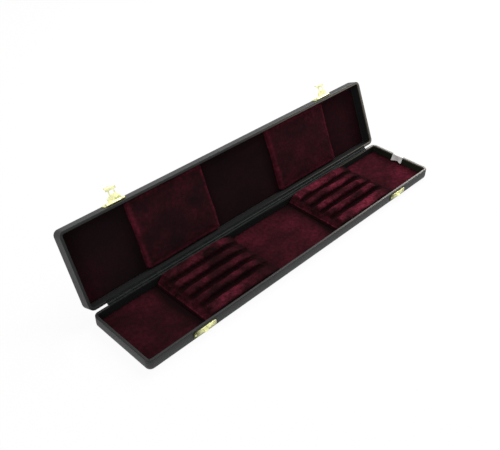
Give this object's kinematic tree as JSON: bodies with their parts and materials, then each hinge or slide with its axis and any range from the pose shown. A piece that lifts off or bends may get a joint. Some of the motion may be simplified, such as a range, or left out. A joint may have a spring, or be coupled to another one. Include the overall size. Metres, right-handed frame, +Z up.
{
  "type": "conductor baton case",
  "caption": "Slim hinged two-shell case, shown open, with grooved racks in the base and facing pads in the lid to hold conductor's batons, shut by two swinging latches.",
  "frame": {"origin": "the middle of the flat underside of the base shell, where the case stands", "axes": "+X along the case, towards the end with the ribbon tab; -Y towards the latches and +Y towards the hinge; +Z up"},
  "size_m": [0.4453, 0.1365, 0.1057],
  "materials": {
    "leatherette": "fine grained black covering, slightly glossy",
    "board": "plain board, hidden under the covering",
    "velvet_lining": "burgundy velvet on card",
    "velvet_rack": "burgundy velvet over foam",
    "velvet_pad": "burgundy velvet over padding",
    "ribbon": "white woven ribbon",
    "black_steel": "black, satin",
    "brass": "polished pale brass plating"
  },
  "bodies": {
    "base": {"base_covering": "leatherette", "base_wall_frame": "board", "base_bottom_board": "board", "base_floor_lining": "velvet_lining", "rack_left": "velvet_rack", "rack_right": "velvet_rack", "ribbon_tab": "ribbon", "hinge_leaf_base": "black_steel", "hinge_pin": "black_steel", "hinge_nails_base": "black_steel", "strike_left": "brass", "strike_right": "brass", "strike_nails": "brass"},
    "lid": {"lid_covering": "leatherette", "lid_wall_frame": "board", "lid_top_board": "board", "lid_lining": "velvet_lining", "lid_pad_left": "velvet_pad", "lid_pad_right": "velvet_pad", "hinge_leaf_lid": "black_steel", "hinge_nails_lid": "black_steel", "latch_plate_left": "brass", "latch_plate_right": "brass", "latch_nails": "brass", "hasp_pin_left": "brass", "hasp_pin_right": "brass"},
    "hasp_left": {"hasp_left": "brass"},
    "hasp_right": {"hasp_right": "brass"}
  },
  "joints": [
    {"name": "lid_hinge", "type": "hinge", "parent": "base", "child": "lid", "pos_m": [0, 0.04285, 0.01435], "axis": [1, 0, 0], "range_deg": [0, 113.5]},
    {"name": "hasp_left_pivot", "type": "hinge", "parent": "lid", "child": "hasp_left", "pos_m": [-0.156, 0.08074, 0.09209], "axis": [1, 0, 0], "range_deg": [0, 95]},
    {"name": "hasp_right_pivot", "type": "hinge", "parent": "lid", "child": "hasp_right", "pos_m": [0.156, 0.08074, 0.09209], "axis": [1, 0, 0], "range_deg": [0, 95]}
  ]
}
